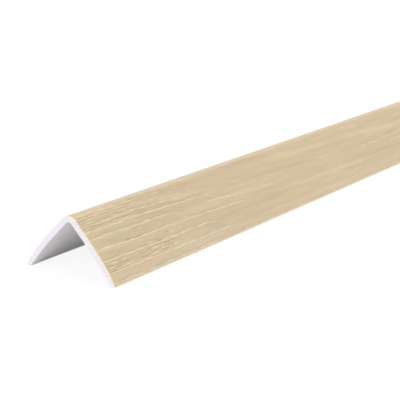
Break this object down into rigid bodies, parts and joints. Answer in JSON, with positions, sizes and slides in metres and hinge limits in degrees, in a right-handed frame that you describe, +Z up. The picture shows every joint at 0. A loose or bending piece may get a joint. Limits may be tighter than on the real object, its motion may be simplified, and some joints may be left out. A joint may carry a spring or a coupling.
{
  "type": "corner guard moulding",
  "caption": "Long right-angle plastic corner guard moulding with a rounded nose, legs that toe in to thin lips, and a pale wood grain film on its outer faces.",
  "frame": {"origin": "on the floor under the nose, at the middle of the length", "axes": "+X along the length, +Z up through the nose of the angle, +Y across from leg to leg"},
  "size_m": [1, 0.0328, 0.0178],
  "materials": {
    "pvc": "satin",
    "wood_grain_film": "satin"
  },
  "bodies": {
    "root": {"pvc_angle": "pvc", "wood_grain_film": "wood_grain_film"}
  },
  "joints": []
}
